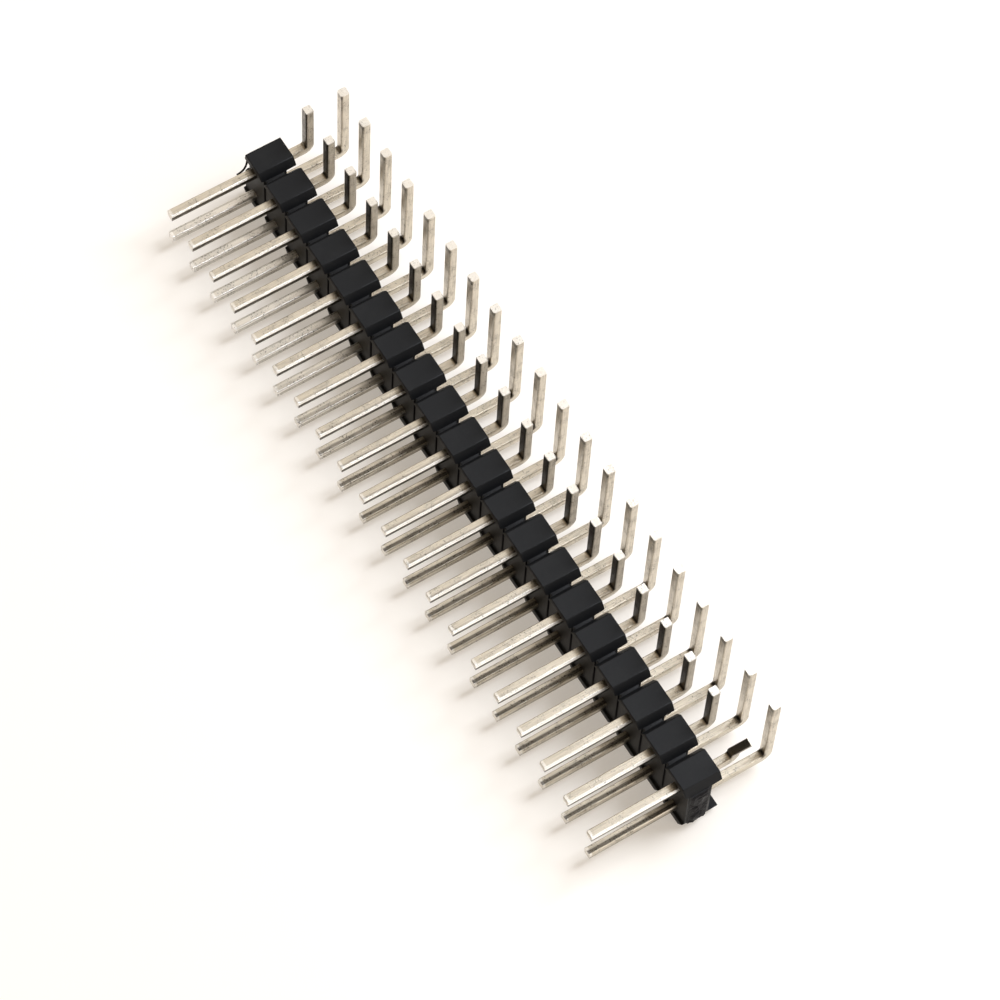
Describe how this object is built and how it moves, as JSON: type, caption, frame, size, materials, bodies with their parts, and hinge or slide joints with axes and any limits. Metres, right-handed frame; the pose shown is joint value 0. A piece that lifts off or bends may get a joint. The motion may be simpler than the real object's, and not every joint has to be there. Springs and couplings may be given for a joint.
{
  "type": "right-angle pin header strip",
  "caption": "Right-angle pin header strip: a notched black plastic bar with bent square pins in an upper and a lower row; the tail at one end is knocked over sideways.",
  "frame": {"origin": "on the body's underside, at the middle of the strip's length and of the body's depth", "axes": "+X along the strip towards the end with the knocked-over solder tail, -Y the way the mating pins point, +Z the way the solder tails rise from the body's top"},
  "size_m": [0.051, 0.0127, 0.0079],
  "materials": {
    "housing": "satin",
    "pin_plating": "satin"
  },
  "bodies": {
    "root": {"insulator_body": "housing", "upper_pin_01": "pin_plating", "upper_pin_02": "pin_plating", "upper_pin_03": "pin_plating", "upper_pin_04": "pin_plating", "upper_pin_05": "pin_plating", "upper_pin_06": "pin_plating", "upper_pin_07": "pin_plating", "upper_pin_08": "pin_plating", "upper_pin_09": "pin_plating", "upper_pin_10": "pin_plating", "upper_pin_11": "pin_plating", "upper_pin_12": "pin_plating", "upper_pin_13": "pin_plating", "upper_pin_14": "pin_plating", "upper_pin_15": "pin_plating", "upper_pin_16": "pin_plating", "upper_pin_17": "pin_plating", "upper_pin_18": "pin_plating", "upper_pin_19": "pin_plating", "upper_pin_20": "pin_plating", "lower_pin_01": "pin_plating", "lower_pin_02": "pin_plating", "lower_pin_03": "pin_plating", "lower_pin_04": "pin_plating", "lower_pin_05": "pin_plating", "lower_pin_06": "pin_plating", "lower_pin_07": "pin_plating", "lower_pin_08": "pin_plating", "lower_pin_09": "pin_plating", "lower_pin_10": "pin_plating", "lower_pin_11": "pin_plating", "lower_pin_12": "pin_plating", "lower_pin_13": "pin_plating", "lower_pin_14": "pin_plating", "lower_pin_15": "pin_plating", "lower_pin_16": "pin_plating", "lower_pin_17": "pin_plating", "lower_pin_18": "pin_plating", "lower_pin_19": "pin_plating", "lower_pin_20": "pin_plating"}
  },
  "joints": []
}
